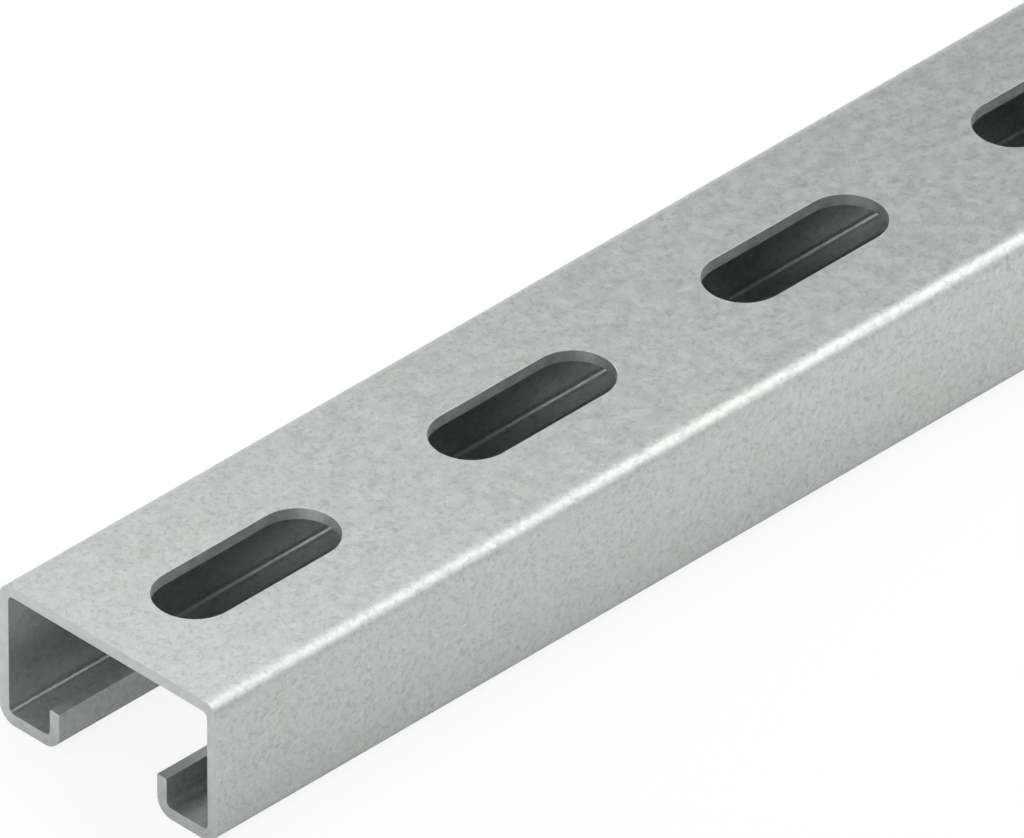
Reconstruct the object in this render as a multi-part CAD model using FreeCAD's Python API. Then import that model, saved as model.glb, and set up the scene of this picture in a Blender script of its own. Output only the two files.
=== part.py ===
import FreeCAD, Part
import math
import os

# Slotted anchor channel: one length of galvanised steel strip, roll-formed to a
# C section and punched along its back. The channel lies mouth down on its two
# lips, as it does on a floor, with the slotted web on top.
#
# Millimetres. X runs along the channel, Y across it and Z up. The origin is at
# the middle of the length, half way across, in the plane that the lips lie on.

# The section
WIDTH = 40.0              # over the two flanges
HEIGHT = 22.0             # from the underside of the lips to the top of the web
THICKNESS = 1.75          # of the strip, the same all round the section
MOUTH_WIDTH = 18.0        # clear gap between the two returns
RETURN_HEIGHT = 6.0       # from the underside of a lip to the top of its return
BEND_INNER_RADIUS = 0.9   # inside radius of all six bends

# The length
LENGTH = 500.0

# The slots in the web
SLOT_LENGTH = 30.0        # over its round ends, along the channel
SLOT_WIDTH = 11.5
SLOT_PITCH = 50.0         # from the middle of one slot to the middle of the next
FIRST_SLOT = 25.0         # from the cut end to the middle of the first slot
SLOT_END_MARGIN = 5.0     # least steel left between the last slot and the far end

CUTTER_CLEARANCE = 1.0    # how far a slot's cutter reaches past both faces of the web

NODE = "anchor_channel"


def bent_line(corners, radius):
    """Edges along a line of (y, z) corners, with a tangent arc of this radius at each inner corner."""
    points = [FreeCAD.Vector(0, y, z) for y, z in corners]
    edges = []
    start = points[0]
    for before, corner, after in zip(points, points[1:], points[2:]):
        towards_before = (before - corner).normalize()
        towards_after = (after - corner).normalize()
        half_angle = towards_before.getAngle(towards_after) / 2
        tangent_length = radius / math.tan(half_angle)
        to_centre = (towards_before + towards_after).normalize()
        centre = corner + to_centre * (radius / math.sin(half_angle))
        arc_start = corner + towards_before * tangent_length
        arc_middle = centre - to_centre * radius
        arc_end = corner + towards_after * tangent_length
        edges.append(Part.LineSegment(start, arc_start).toShape())
        edges.append(Part.Arc(arc_start, arc_middle, arc_end).toShape())
        start = arc_end
    edges.append(Part.LineSegment(start, points[-1]).toShape())
    return edges


def strip_side(inset):
    """Corners of one side of the strip, this far inside the outer faces, from return to return."""
    return_y = MOUTH_WIDTH / 2 + inset
    flange_y = WIDTH / 2 - inset
    right_half = [
        (return_y, RETURN_HEIGHT),
        (return_y, inset),
        (flange_y, inset),
        (flange_y, HEIGHT - inset),
    ]
    left_half = [(-y, z) for y, z in reversed(right_half)]
    return right_half + left_half


def section_face():
    """The strip's cross-section: returns, lips, flanges and web at one thickness."""
    outer_corners = strip_side(0)
    inner_corners = strip_side(THICKNESS)
    outer_edges = bent_line(outer_corners, BEND_INNER_RADIUS + THICKNESS)
    inner_edges = bent_line(inner_corners, BEND_INNER_RADIUS)
    sheared_edges = []
    for end in (0, -1):
        outer_end = FreeCAD.Vector(0, *outer_corners[end])
        inner_end = FreeCAD.Vector(0, *inner_corners[end])
        sheared_edges.append(Part.LineSegment(outer_end, inner_end).toShape())
    wires = Part.sortEdges(outer_edges + inner_edges + sheared_edges)
    return Part.Face(Part.Wire(wires[0]))


def formed_strip():
    """The plain channel, before its slots are cut."""
    section = section_face()
    section.translate(FreeCAD.Vector(-LENGTH / 2, 0, 0))
    return section.extrude(FreeCAD.Vector(LENGTH, 0, 0))


def slot_centres():
    """Places of the slots along X, as many as leave the margin at the far end."""
    room = LENGTH - FIRST_SLOT - SLOT_LENGTH / 2 - SLOT_END_MARGIN
    count = int(room // SLOT_PITCH) + 1
    first = FIRST_SLOT - LENGTH / 2
    return [first + number * SLOT_PITCH for number in range(count)]


def slot_cutter():
    """A round-ended slot through the web, at the middle of the channel."""
    radius = SLOT_WIDTH / 2
    arc_centre = SLOT_LENGTH / 2 - radius
    bottom = HEIGHT - THICKNESS - CUTTER_CLEARANCE
    depth = THICKNESS + 2 * CUTTER_CLEARANCE
    near_left = FreeCAD.Vector(-arc_centre, radius, bottom)
    near_end = FreeCAD.Vector(-SLOT_LENGTH / 2, 0, bottom)
    near_right = FreeCAD.Vector(-arc_centre, -radius, bottom)
    far_right = FreeCAD.Vector(arc_centre, -radius, bottom)
    far_end = FreeCAD.Vector(SLOT_LENGTH / 2, 0, bottom)
    far_left = FreeCAD.Vector(arc_centre, radius, bottom)
    outline = Part.Wire([
        Part.Arc(near_left, near_end, near_right).toShape(),
        Part.LineSegment(near_right, far_right).toShape(),
        Part.Arc(far_right, far_end, far_left).toShape(),
        Part.LineSegment(far_left, near_left).toShape(),
    ])
    return Part.Face(outline).extrude(FreeCAD.Vector(0, 0, depth))


def anchor_channel():
    """The formed strip with its row of slots."""
    cutter = slot_cutter()
    cutters = [cutter.translated(FreeCAD.Vector(x, 0, 0)) for x in slot_centres()]
    return formed_strip().cut(cutters)


def main():
    channel = anchor_channel()
    os.makedirs("parts", exist_ok=True)
    channel.exportStep(os.path.join("parts", NODE + ".step"))


main()
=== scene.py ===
import math

import bpy
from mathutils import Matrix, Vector


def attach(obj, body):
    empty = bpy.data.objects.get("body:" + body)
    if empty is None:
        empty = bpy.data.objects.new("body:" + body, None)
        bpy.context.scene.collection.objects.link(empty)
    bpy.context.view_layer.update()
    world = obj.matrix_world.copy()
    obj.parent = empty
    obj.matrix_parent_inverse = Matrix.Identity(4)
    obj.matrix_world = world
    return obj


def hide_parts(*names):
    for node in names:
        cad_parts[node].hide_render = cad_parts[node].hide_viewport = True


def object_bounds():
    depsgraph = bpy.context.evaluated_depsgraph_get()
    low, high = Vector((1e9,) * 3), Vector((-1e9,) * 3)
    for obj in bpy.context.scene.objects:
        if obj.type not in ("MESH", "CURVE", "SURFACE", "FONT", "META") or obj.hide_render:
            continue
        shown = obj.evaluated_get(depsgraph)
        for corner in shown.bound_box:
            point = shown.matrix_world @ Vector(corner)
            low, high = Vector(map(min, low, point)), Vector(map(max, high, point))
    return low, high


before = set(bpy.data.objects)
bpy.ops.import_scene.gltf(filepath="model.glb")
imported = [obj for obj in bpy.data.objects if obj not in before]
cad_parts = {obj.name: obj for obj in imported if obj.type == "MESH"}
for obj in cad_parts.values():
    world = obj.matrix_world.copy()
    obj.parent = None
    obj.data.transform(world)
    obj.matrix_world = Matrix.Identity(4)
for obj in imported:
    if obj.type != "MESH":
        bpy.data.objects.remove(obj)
cadLow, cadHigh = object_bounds()
print("frame loaded:", sorted(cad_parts))


# small helpers for node trees

def place(tree, kind, sockets=None, **settings):
    # one node; a socket is named or numbered and gets a value or a link
    node = tree.nodes.new(kind)
    for name, value in settings.items():
        setattr(node, name, value)
    for key, value in (sockets or {}).items():
        if isinstance(value, bpy.types.NodeSocket):
            tree.links.new(value, node.inputs[key])
        else:
            node.inputs[key].default_value = value
    return node


def calc(tree, operation, *values):
    return place(tree, "ShaderNodeMath", dict(enumerate(values)), operation=operation).outputs[0]


def combine(tree, x=0.0, y=0.0, z=0.0):
    return place(tree, "ShaderNodeCombineXYZ", {0: x, 1: y, 2: z}).outputs[0]


def separate(tree, vector):
    return place(tree, "ShaderNodeSeparateXYZ", {0: vector}).outputs


def addSockets(tree, inputs, outputs):
    # inputs and outputs are lists of (name, kind) or (name, kind, default); what comes
    # back are the inputs as the nodes inside the tree see them
    for inOut, sockets in (("INPUT", inputs), ("OUTPUT", outputs)):
        for name, kind, *default in sockets:
            socket = tree.interface.new_socket(
                name, in_out=inOut, socket_type="NodeSocket" + kind)
            if default:
                socket.default_value = default[0]
    return tree.nodes.new("NodeGroupInput").outputs


def spreadOut(tree, columnStep=190, rowStep=170):
    # each node one column to the right of the last node that feeds it
    depth = {node.name: 0 for node in tree.nodes}
    for _ in tree.nodes:
        for link in tree.links:
            here, there = link.from_node.name, link.to_node.name
            depth[there] = max(depth[there], depth[here] + 1)
    filled = {}
    for node in tree.nodes:
        column = depth[node.name]
        node.location = (column * columnStep, -filled.get(column, 0) * rowStep)
        filled[column] = filled.get(column, 0) + 1


# the channel's sheet: punched and bent

channel = {
    "thickness": 0.00175,
    "mouthWidth": 0.018,
    "returnHeight": 0.006,       # from the underside of a lip
    "insideRadius": 0.0009,      # of all six bends
    "slotLength": 0.030,
    "slotWidth": 0.0115,
    "slotPitch": 0.050,          # half of it lies beyond each end slot's centre
    "bendSteps": 8,
    "slotEndSteps": 14,          # for a quarter of a circle
    "weldDistance": 0.000001,    # points closer than this become one
    "edgeBreak": 0.00006,        # on every sheared edge
    "edgeBreakSteps": 2,
    "sharpAngle": 50,            # edges that turn by more degrees than this are broken
}


def weld(tree, geometry):
    return place(tree, "GeometryNodeMergeByDistance", {
        "Geometry": geometry, "Distance": channel["weldDistance"],
    }).outputs[0]


def join(tree, first, second):
    joined = place(tree, "GeometryNodeJoinGeometry")
    tree.links.new(first, joined.inputs[0])
    tree.links.new(second, joined.inputs[0])
    return joined.outputs[0]


def flipFaces(tree, mesh):
    return place(tree, "GeometryNodeFlipFaces", {"Mesh": mesh}).outputs[0]


def pick(tree, geometry, value, index):
    return place(tree, "GeometryNodeSampleIndex", {
        "Geometry": geometry, "Value": value, "Index": index,
    }, data_type="FLOAT_VECTOR", clamp=True).outputs[0]


def choose(tree, switch, ifFalse, ifTrue):
    return place(tree, "GeometryNodeSwitch", {
        "Switch": switch, "False": ifFalse, "True": ifTrue,
    }, input_type="FLOAT").outputs[0]


def outerSection(tree, given, index):
    # the outer side's path at +Y, from the end of the web's flat to the return's edge
    flangeY = calc(tree, "MULTIPLY", given["Width"], 0.5)
    returnY = calc(tree, "MULTIPLY", given["Mouth Width"], 0.5)
    bendRadius = calc(tree, "ADD", given["Inside Radius"], given["Thickness"])
    webFlatY = calc(tree, "SUBTRACT", flangeY, bendRadius)
    corners = [
        combine(tree, 0.0, webFlatY, given["Height"]),
        combine(tree, 0.0, flangeY, given["Height"]),
        combine(tree, 0.0, flangeY, 0.0),
        combine(tree, 0.0, returnY, 0.0),
        combine(tree, 0.0, returnY, given["Return Height"]),
    ]
    corner = place(tree, "GeometryNodeIndexSwitch", data_type="VECTOR")
    while len(corner.index_switch_items) < len(corners):
        corner.index_switch_items.new()
    tree.links.new(index, corner.inputs["Index"])
    for number, position in enumerate(corners):
        tree.links.new(position, corner.inputs[number + 1])    # 0 is the index
    points = place(tree, "GeometryNodePoints", {
        "Count": len(corners), "Position": corner.outputs[0],
    })
    path = place(tree, "GeometryNodePointsToCurves", {"Points": points.outputs[0]})
    bent = place(tree, "GeometryNodeFilletCurve", {
        "Curve": path.outputs[0], "Count": given["Bend Steps"], "Radius": bendRadius,
    }, mode="POLY")
    section = place(tree, "GeometryNodeCurveToMesh", {"Curve": bent.outputs[0]})
    return weld(tree, section.outputs[0])


def slotEnd(tree, given):
    # a quarter of the slot's outline, from above its arc's centre round to its tip
    radius = calc(tree, "MULTIPLY", given["Slot Width"], 0.5)
    backwards = calc(tree, "MULTIPLY", radius, -1.0)
    centreX = calc(tree, "MULTIPLY_ADD", given["Slot Length"], 0.5, backwards)
    arc = place(tree, "GeometryNodeCurveArc", {
        "Resolution": calc(tree, "ADD", given["Slot End Steps"], 1.0), "Radius": radius,
        "Start Angle": math.pi / 2, "Sweep Angle": -math.pi / 2,
    }, mode="RADIUS")
    return place(tree, "GeometryNodeTransform", {
        "Geometry": arc.outputs[0], "Translation": combine(tree, centreX),
    }).outputs[0]


def quarterModule(tree, given, halfPitch):
    # a grid with a column more at each end of the arc, and a row more than the
    # section has points; the tests on rows and columns fall halfway between two
    index = place(tree, "GeometryNodeInputIndex").outputs[0]
    position = place(tree, "GeometryNodeInputPosition").outputs[0]
    section = outerSection(tree, given, index)
    columns = calc(tree, "ADD", given["Slot End Steps"], 3.0)
    sectionSize = place(tree, "GeometryNodeAttributeDomainSize", {"Geometry": section})
    rows = calc(tree, "ADD", sectionSize.outputs["Point Count"], 1.0)
    grid = place(tree, "GeometryNodeMeshGrid", {"Vertices X": columns, "Vertices Y": rows})
    column = calc(tree, "FLOOR", calc(tree, "DIVIDE", index, rows))
    row = calc(tree, "MODULO", index, rows)
    beforeColumn = calc(tree, "SUBTRACT", column, 1.0)
    beforeRow = calc(tree, "SUBTRACT", row, 1.0)
    arcPoint = separate(tree, pick(tree, slotEnd(tree, given), position, beforeColumn))
    sectionPoint = separate(tree, pick(tree, section, position, beforeRow))

    afterFirst = calc(tree, "SUBTRACT", 1.0, calc(tree, "LESS_THAN", column, 0.5))
    isLast = calc(tree, "GREATER_THAN", column, calc(tree, "SUBTRACT", columns, 1.5))
    onSlotEdge = calc(tree, "LESS_THAN", row, 0.5)
    alongX = choose(tree, isLast, calc(tree, "MULTIPLY", arcPoint["X"], afterFirst), halfPitch)
    acrossY = choose(tree, onSlotEdge, sectionPoint["Y"], arcPoint["Y"])
    return place(tree, "GeometryNodeSetPosition", {
        "Geometry": grid.outputs["Mesh"],
        "Position": combine(tree, alongX, acrossY, sectionPoint["Z"]),
    }).outputs[0]


def sheetTree():
    # one quarter of a slot's module is a grid: its columns stand on the slot's edge
    # and its rows follow the section round to the return; mirrored and repeated it
    # is the channel's outer side, which then gets its thickness inwards
    tree = bpy.data.node_groups.new("punchedSheet", "GeometryNodeTree")
    given = addSockets(tree, [
        ("Width", "Float"), ("Height", "Float"), ("Thickness", "Float"),
        ("Mouth Width", "Float"), ("Return Height", "Float"), ("Inside Radius", "Float"),
        ("Bend Steps", "Int"), ("Slot Length", "Float"), ("Slot Width", "Float"),
        ("Slot Pitch", "Float"), ("Slot Count", "Int"), ("Slot End Steps", "Int"),
        ("Skin", "Material"), ("Sheared Edge", "Material"),
    ], [("Geometry", "Geometry")])

    halfPitch = calc(tree, "MULTIPLY", given["Slot Pitch"], 0.5)
    module = quarterModule(tree, given, halfPitch)
    for mirror in ((-1.0, 1.0, 1.0), (1.0, -1.0, 1.0)):
        mirrored = place(tree, "GeometryNodeTransform", {"Geometry": module, "Scale": mirror})
        module = join(tree, module, flipFaces(tree, mirrored.outputs[0]))

    # one module for each slot, the row centred on the origin
    gaps = calc(tree, "SUBTRACT", given["Slot Count"], 1.0)
    firstX = calc(tree, "MULTIPLY", calc(tree, "MULTIPLY", gaps, halfPitch), -1.0)
    line = place(tree, "GeometryNodeMeshLine", {
        "Count": given["Slot Count"], "Start Location": combine(tree, firstX),
        "Offset": combine(tree, given["Slot Pitch"]),
    }, mode="OFFSET")
    copies = place(tree, "GeometryNodeInstanceOnPoints", {
        "Points": line.outputs[0], "Instance": module,
    })
    real = place(tree, "GeometryNodeRealizeInstances", {"Geometry": copies.outputs[0]})
    outerSide = weld(tree, real.outputs[0])

    # thickness: the sides that the extrusion makes are the sheared edges
    inwards = calc(tree, "MULTIPLY", given["Thickness"], -1.0)
    thick = place(tree, "GeometryNodeExtrudeMesh", {
        "Mesh": outerSide, "Offset Scale": inwards, "Individual": False,
    }, mode="FACES")
    closed = weld(tree, join(tree, outerSide, flipFaces(tree, thick.outputs["Mesh"])))
    smooth = place(tree, "GeometryNodeSetShadeSmooth", {"Geometry": closed})
    real = place(tree, "GeometryNodeRealizeInstances", {"Geometry": smooth.outputs[0]})
    painted = place(tree, "GeometryNodeSetMaterial", {
        "Geometry": real.outputs[0], "Material": given["Skin"],
    })
    painted = place(tree, "GeometryNodeSetMaterial", {
        "Geometry": painted.outputs[0], "Selection": thick.outputs["Side"],
        "Material": given["Sheared Edge"],
    })
    place(tree, "NodeGroupOutput", {0: painted.outputs[0]})
    spreadOut(tree)
    return tree


def setInputs(modifier, values):
    # by the socket's identifier, before anything is evaluated
    for item in modifier.node_group.interface.items_tree:
        if item.item_type == "SOCKET" and item.in_out == "INPUT" and item.name in values:
            modifier[item.identifier] = values[item.name]


def makeChannel(skinMaterial, edgeMaterial):
    length, width, height = cadHigh - cadLow
    piece = bpy.data.objects.new("galvanised_channel", bpy.data.meshes.new("sheet"))
    bpy.context.scene.collection.objects.link(piece)

    sheet = piece.modifiers.new("punched and bent", "NODES")
    sheet.node_group = sheetTree()
    setInputs(sheet, {
        "Width": width, "Height": height, "Thickness": channel["thickness"],
        "Mouth Width": channel["mouthWidth"], "Return Height": channel["returnHeight"],
        "Inside Radius": channel["insideRadius"], "Bend Steps": channel["bendSteps"],
        "Slot Length": channel["slotLength"], "Slot Width": channel["slotWidth"],
        "Slot Pitch": channel["slotPitch"],
        "Slot Count": round(length / channel["slotPitch"]),
        "Slot End Steps": channel["slotEndSteps"],
        "Skin": skinMaterial, "Sheared Edge": edgeMaterial,
    })
    broken = piece.modifiers.new("edge break", "BEVEL")
    broken.width = channel["edgeBreak"]
    broken.segments = channel["edgeBreakSteps"]
    broken.limit_method = "ANGLE"
    broken.angle_limit = math.radians(channel["sharpAngle"])
    broken.harden_normals = True

    evaluated = piece.evaluated_get(bpy.context.evaluated_depsgraph_get())
    finished = bpy.data.meshes.new_from_object(evaluated)
    piece.modifiers.clear()
    piece.data = finished
    finished.name = "channelMesh"
    finished.materials.pop(index=0)    # the empty one that the node tree starts with
    print("channel mesh:", len(finished.vertices), "vertices,", len(finished.polygons),
          "faces, materials", [material.name for material in finished.materials])
    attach(piece, "root")
    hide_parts("anchor_channel")


# zinc: what the skin and the sheared edges share, each with its own values

def addGroup(name, inputs, outputs):
    tree = bpy.data.node_groups.new(name, "ShaderNodeTree")
    return tree, addSockets(tree, inputs, outputs)


def noise(tree, vector, size, detail=2.0, roughness=0.5, distortion=0.0):
    # size is the width of one blotch in metres
    return place(tree, "ShaderNodeTexNoise", {
        "Vector": vector, "Scale": calc(tree, "DIVIDE", 1.0, size), "Detail": detail,
        "Roughness": roughness, "Distortion": distortion,
    }).outputs["Fac"]


def ramp(tree, value, low, high, toLow=0.0, toHigh=1.0):
    return place(tree, "ShaderNodeMapRange", {
        "Value": value, "From Min": low, "From Max": high, "To Min": toLow, "To Max": toHigh,
    }, interpolation_type="SMOOTHSTEP").outputs[0]


def blend(tree, factor, first, second):
    # 6 and 7 are the two colours among the sockets of a Mix node, and 2 is the mixed one
    return place(tree, "ShaderNodeMix", {0: factor, 6: first, 7: second},
                 data_type="RGBA").outputs[2]


def makeCloudGroup():
    # pale and grey patches with finer and finer ones in them
    tree, given = addGroup("zincClouds", [
        ("Vector", "Vector"), ("Size", "Float", 0.003),
        ("Detail", "Float", 3.5), ("Fineness", "Float", 0.75),
    ], [("Tone", "Float"), ("Height", "Float")])
    grey, pale = 0.28, 0.72    # where a patch is all grey, and where it is all pale
    patches = noise(tree, given["Vector"], given["Size"], given["Detail"], given["Fineness"])
    place(tree, "NodeGroupOutput", {
        "Tone": ramp(tree, patches, grey, pale), "Height": patches,
    })
    spreadOut(tree)
    return tree


def makeCrinkleGroup():
    # short curled hairlines between the zinc's crystals: the level lines of a noise,
    # dark in some patches, pale in others, and cut short where neither is
    tree, given = addGroup("zincCrinkle", [
        ("Vector", "Vector"), ("Size", "Float", 0.0016),
        ("Line Width", "Float", 0.0003), ("Share", "Float", 0.8),
    ], [("Dark", "Float"), ("Pale", "Float")])
    level = 0.5        # the noise's value that the lines follow
    rise = 0.3         # how far from it a line's edge is, on a line as wide as Size
    patchSize = 0.9    # of Size
    fade = 0.1         # half the width of a patch's soft edge
    field = noise(tree, given["Vector"], given["Size"], detail=1.0, distortion=0.8)
    fromLine = calc(tree, "ABSOLUTE", calc(tree, "SUBTRACT", field, level))
    lineWidth = calc(tree, "DIVIDE", given["Line Width"], given["Size"])
    lines = ramp(tree, fromLine, 0.0, calc(tree, "MULTIPLY", lineWidth, rise), 1.0, 0.0)
    scaled = calc(tree, "MULTIPLY", given["Size"], patchSize)
    patches = noise(tree, given["Vector"], scaled, detail=0.0)
    low = calc(tree, "MULTIPLY", given["Share"], 0.5)
    high = calc(tree, "SUBTRACT", 1.0, low)
    dark = ramp(tree, patches, calc(tree, "SUBTRACT", high, fade), calc(tree, "ADD", high, fade))
    pale = ramp(tree, patches, calc(tree, "ADD", low, fade), calc(tree, "SUBTRACT", low, fade))
    place(tree, "NodeGroupOutput", {
        "Dark": calc(tree, "MULTIPLY", lines, dark), "Pale": calc(tree, "MULTIPLY", lines, pale),
    })
    spreadOut(tree)
    return tree


def makeSpeckGroup():
    # small soft dark and bright specks, thick in some patches and thin in others
    tree, given = addGroup("zincSpecks", [
        ("Vector", "Vector"), ("Size", "Float", 0.0006),
    ], [("Dark", "Float"), ("Bright", "Float"), ("Height", "Float")])
    darkFrom, darkTo = 0.52, 0.78        # the noise's value at a speck's rim and core
    brightFrom, brightTo = 0.48, 0.22
    crowdSize = 5.0                      # of Size
    crowdFrom, crowdTo = 0.3, 0.65
    thin, thick = 0.65, 1.0              # the specks' strength in the two kinds of patch
    specks = noise(tree, given["Vector"], given["Size"], detail=2.0, roughness=0.6)
    scaled = calc(tree, "MULTIPLY", given["Size"], crowdSize)
    crowd = noise(tree, given["Vector"], scaled, detail=1.0)
    crowd = ramp(tree, crowd, crowdFrom, crowdTo, thin, thick)
    dark = ramp(tree, specks, darkFrom, darkTo)
    bright = ramp(tree, specks, brightFrom, brightTo)
    place(tree, "NodeGroupOutput", {
        "Dark": calc(tree, "MULTIPLY", dark, crowd),
        "Bright": calc(tree, "MULTIPLY", bright, crowd), "Height": specks,
    })
    spreadOut(tree)
    return tree


def makeGrainGroup():
    # fine satin grain, drawn out along Z where Stretch is over 1
    tree, given = addGroup("zincGrain", [
        ("Vector", "Vector"), ("Size", "Float", 0.0003), ("Stretch", "Float", 1.0),
    ], [("Grain", "Float")])
    drawn = place(tree, "ShaderNodeVectorMath", {
        0: given["Vector"], 1: combine(tree, 1.0, 1.0, calc(tree, "DIVIDE", 1.0, given["Stretch"])),
    }, operation="MULTIPLY")
    grain = noise(tree, drawn.outputs[0], given["Size"], detail=2.0, roughness=0.6)
    place(tree, "NodeGroupOutput", {"Grain": grain})
    spreadOut(tree)
    return tree


def newMaterial(name, constants):
    material = bpy.data.materials.new(name)
    material.use_nodes = True
    tree = material.node_tree
    shader = tree.nodes["Principled BSDF"]
    for socket, value in constants.items():
        shader.inputs[socket].default_value = value
    return material, tree, shader


def useGroup(tree, group, sockets):
    return place(tree, "ShaderNodeGroup", sockets, node_tree=group).outputs


def useClouds(tree, group, vector, finish):
    return useGroup(tree, group, {
        "Vector": vector, "Size": finish["cloudSize"], "Detail": finish["cloudDetail"],
        "Fineness": finish["cloudFineness"],
    })


def feedShader(tree, shader, colour, roughness, height, relief):
    bump = place(tree, "ShaderNodeBump", {"Height": height, "Distance": relief})
    tree.links.new(colour, shader.inputs["Base Color"])
    tree.links.new(roughness, shader.inputs["Roughness"])
    tree.links.new(bump.outputs[0], shader.inputs["Normal"])
    spreadOut(tree)


skin = {
    "paleTint": (0.550, 0.576, 0.568, 1),
    "greyTint": (0.512, 0.536, 0.529, 1),
    "warmTint": (0.528, 0.549, 0.505, 1),
    "darkTint": (0.385, 0.410, 0.398, 1),    # of the specks and the hairlines
    "brightTint": (0.640, 0.664, 0.654, 1),
    "metallic": 0.85,
    "roughness": (0.41, 0.49),     # in the grey patches and in the pale ones
    "cloudSize": 0.0024,
    "cloudDetail": 3.0,
    "cloudFineness": 0.75,
    "warmSize": 0.009,
    "warmRange": (0.45, 0.7),      # the noise's value where a warm patch begins and is full
    "warmShare": 0.4,
    "speckSize": 0.0006,
    "speckShare": 0.58,
    "crinkleSize": 0.0011,
    "crinkleWidth": 0.00030,
    "crinkleShare": 1.0,           # of the surface, dark and pale patches together
    "darkLineShare": 0.63,
    "paleLineShare": 0.40,
    "relief": 0.000027,
    "speckDepth": 0.2,             # of the relief
    "lineDepth": 0.15,
}


def makeSkin(groups):
    material, tree, shader = newMaterial("galvanisedSkin", {"Metallic": skin["metallic"]})
    vector = place(tree, "ShaderNodeTexCoord").outputs["Object"]
    clouds = useClouds(tree, groups["clouds"], vector, skin)
    specks = useGroup(tree, groups["specks"], {"Vector": vector, "Size": skin["speckSize"]})
    crinkle = useGroup(tree, groups["crinkle"], {
        "Vector": vector, "Size": skin["crinkleSize"], "Line Width": skin["crinkleWidth"],
        "Share": skin["crinkleShare"],
    })
    warm = noise(tree, vector, skin["warmSize"], detail=3.0, roughness=0.6)
    warm = ramp(tree, warm, *skin["warmRange"], 0.0, skin["warmShare"])

    colour = blend(tree, clouds["Tone"], skin["greyTint"], skin["paleTint"])
    colour = blend(tree, warm, colour, skin["warmTint"])
    for mask, share, tint in (
        (specks["Dark"], skin["speckShare"], skin["darkTint"]),
        (specks["Bright"], skin["speckShare"], skin["brightTint"]),
        (crinkle["Dark"], skin["darkLineShare"], skin["darkTint"]),
        (crinkle["Pale"], skin["paleLineShare"], skin["brightTint"]),
    ):
        colour = blend(tree, calc(tree, "MULTIPLY", mask, share), colour, tint)
    roughness = ramp(tree, clouds["Tone"], 0.0, 1.0, *skin["roughness"])
    height = clouds["Height"]
    for lower, depth in (
        (specks["Height"], skin["speckDepth"]), (crinkle["Dark"], skin["lineDepth"]),
    ):
        height = calc(tree, "MULTIPLY_ADD", lower, -depth, height)
    feedShader(tree, shader, colour, roughness, height, skin["relief"])
    return material


shearedEdge = {
    "paleTint": (0.630, 0.655, 0.645, 1),
    "greyTint": (0.475, 0.498, 0.490, 1),
    "metallic": 0.85,
    "roughness": (0.45, 0.55),     # where the tone is grey and where it is pale
    "toneRange": (0.2, 0.8),       # the tone at those two
    "cloudSize": 0.0016,
    "cloudDetail": 2.0,
    "cloudFineness": 0.7,
    "grainSize": 0.0004,
    "grainStretch": 3.0,
    "grainShare": 0.5,             # of the tone; the rest comes from the clouds
    "relief": 0.00002,
}


def makeShearedEdge(groups):
    material, tree, shader = newMaterial("shearedEdge", {"Metallic": shearedEdge["metallic"]})
    vector = place(tree, "ShaderNodeTexCoord").outputs["Object"]
    clouds = useClouds(tree, groups["clouds"], vector, shearedEdge)
    grain = useGroup(tree, groups["grain"], {
        "Vector": vector, "Size": shearedEdge["grainSize"],
        "Stretch": shearedEdge["grainStretch"],
    })["Grain"]
    share = shearedEdge["grainShare"]
    cloudPart = calc(tree, "MULTIPLY", clouds["Tone"], 1.0 - share)
    tone = calc(tree, "MULTIPLY_ADD", grain, share, cloudPart)
    colour = blend(tree, tone, shearedEdge["greyTint"], shearedEdge["paleTint"])
    roughness = ramp(tree, tone, *shearedEdge["toneRange"], *shearedEdge["roughness"])
    feedShader(tree, shader, colour, roughness, grain, shearedEdge["relief"])
    return material


# floor, world, lamps and camera

studio = {
    "floorSide": 60.0,
    "floorGap": 0.00002,             # between the lips and the floor
    "floorColour": (0.97, 0.97, 0.97, 1),
    "floorWhite": 0.88,              # how far the floor goes to plain white for the camera
    "floorWhiteInMetal": 0.07,       # and in the metal's reflections
    "horizon": (1.0, 1.0, 1.0, 1),
    "ceilingEdge": (0.25, 0.25, 0.25, 1),
    "ceiling": (0.45, 0.45, 0.45, 1),
    "horizonToEdge": (0.15, 0.45),   # sines of the elevations between which the world
    "edgeToCeiling": (0.6, 0.85),    # turns from one of these colours into the next
    "aimHeight": 0.01,               # of the point that the soft boxes face
}


def makeFloor():
    side = studio["floorSide"] / 2
    corners = [(-side, -side, 0), (side, -side, 0), (side, side, 0), (-side, side, 0)]
    mesh = bpy.data.meshes.new("floor")
    mesh.from_pydata(corners, [], [(0, 1, 2, 3)])
    floor = bpy.data.objects.new("floor", mesh)
    floor.location.z = cadLow.z - studio["floorGap"]
    bpy.context.scene.collection.objects.link(floor)
    material, tree, shader = newMaterial("paleFloor", {
        "Base Color": studio["floorColour"], "Roughness": 1.0, "Specular IOR Level": 0.0,
    })
    white = place(tree, "ShaderNodeEmission", {"Color": (1, 1, 1, 1), "Strength": 1.0})
    ray = place(tree, "ShaderNodeLightPath").outputs
    inMetal = calc(tree, "MAXIMUM", ray["Is Glossy Ray"], ray["Is Transmission Ray"])
    forCamera = calc(tree, "MULTIPLY", ray["Is Camera Ray"], studio["floorWhite"])
    forMetal = calc(tree, "MULTIPLY", inMetal, studio["floorWhiteInMetal"])
    mixed = place(tree, "ShaderNodeMixShader", {
        0: calc(tree, "MAXIMUM", forCamera, forMetal), 1: shader.outputs[0], 2: white.outputs[0],
    })
    tree.links.new(mixed.outputs[0], tree.nodes["Material Output"].inputs["Surface"])
    spreadOut(tree)
    mesh.materials.append(material)


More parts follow.
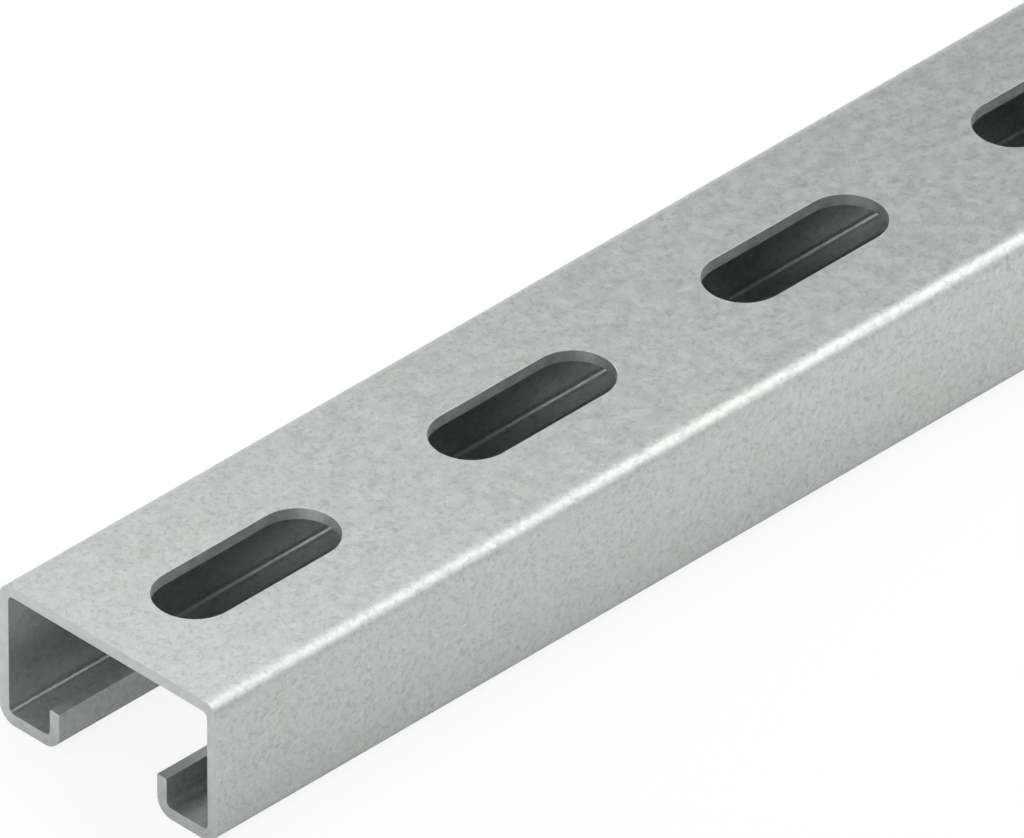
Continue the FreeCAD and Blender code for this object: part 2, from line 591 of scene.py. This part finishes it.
def makeWorld():
    world = bpy.data.worlds.new("studio")
    bpy.context.scene.world = world
    world.use_nodes = True
    tree = world.node_tree
    direction = place(tree, "ShaderNodeTexCoord").outputs["Generated"]
    upwards = separate(tree, direction)["Z"]
    aboveHorizon = ramp(tree, upwards, *studio["horizonToEdge"])
    overhead = ramp(tree, upwards, *studio["edgeToCeiling"])
    colour = blend(tree, aboveHorizon, studio["horizon"], studio["ceilingEdge"])
    colour = blend(tree, overhead, colour, studio["ceiling"])
    tree.links.new(colour, tree.nodes["Background"].inputs["Color"])
    spreadOut(tree)


def standBack(thing, target, bearing, elevation, distance):
    # puts a lamp or the camera there, facing the target
    bearing, elevation = math.radians(bearing), math.radians(elevation)
    back = Vector((
        math.cos(bearing) * math.cos(elevation),
        math.sin(bearing) * math.cos(elevation),
        math.sin(elevation),
    ))
    thing.location = Vector(target) + back * distance
    thing.rotation_mode = "QUATERNION"
    thing.rotation_quaternion = back.to_track_quat("Z", "Y")
    bpy.context.scene.collection.objects.link(thing)


# soft boxes: each faces the point aimX on the channel's length, and its elevation and
# bearing are seen from there, in degrees; bearing 0 is +X and 90 is +Y
softBoxes = {
    "keyRight": dict(aimX=-0.20, elevation=45, bearing=330, distance=0.50, side=0.35, power=0.84),
    "farEnd": dict(aimX=-0.17, elevation=60, bearing=0, distance=0.75, side=0.45, power=0.51),
    "nearEnd": dict(aimX=-0.20, elevation=20, bearing=180, distance=0.50, side=0.35, power=0.36),
    "behind": dict(aimX=-0.20, elevation=50, bearing=90, distance=0.50, side=0.60, power=1.00),
    "behindHigh": dict(aimX=-0.20, elevation=70, bearing=90, distance=0.40, side=0.28, power=0.30),
}


def makeSoftBox(name, box):
    light = bpy.data.lights.new(name, "AREA")
    light.shape = "SQUARE"
    light.size = box["side"]
    light.energy = box["power"]
    lamp = bpy.data.objects.new(name, light)
    lamp.visible_camera = False
    target = (box["aimX"], 0.0, studio["aimHeight"])
    standBack(lamp, target, box["bearing"], box["elevation"], box["distance"])


camera = {
    "lens": 1350.0,    # long, because the photo is close to a parallel view
    "sensorWidth": 36.0,
    "target": (-0.17687, 0.0, 0.02071),
    "bearing": -134.78,
    "elevation": 35.37,
    "distance": 4.966,
    "clip": (0.1, 100.0),
}


def makeCamera():
    data = bpy.data.cameras.new("camera")
    data.lens = camera["lens"]
    data.sensor_width = camera["sensorWidth"]
    data.clip_start, data.clip_end = camera["clip"]
    eye = bpy.data.objects.new("camera", data)
    standBack(eye, camera["target"], camera["bearing"], camera["elevation"], camera["distance"])
    bpy.context.scene.camera = eye


zincGroups = {
    "clouds": makeCloudGroup(), "specks": makeSpeckGroup(),
    "crinkle": makeCrinkleGroup(), "grain": makeGrainGroup(),
}
skinMaterial, edgeMaterial = makeSkin(zincGroups), makeShearedEdge(zincGroups)
print("materials:", skinMaterial.name, "and", edgeMaterial.name)
makeChannel(skinMaterial, edgeMaterial)
makeFloor()
makeWorld()
for name, box in softBoxes.items():
    makeSoftBox(name, box)
print("studio: floor, world and", len(softBoxes), "soft boxes")
makeCamera()
print("camera: lens", camera["lens"], "mm, elevation", camera["elevation"], "degrees")

bpy.context.scene.view_settings.view_transform = "Standard"
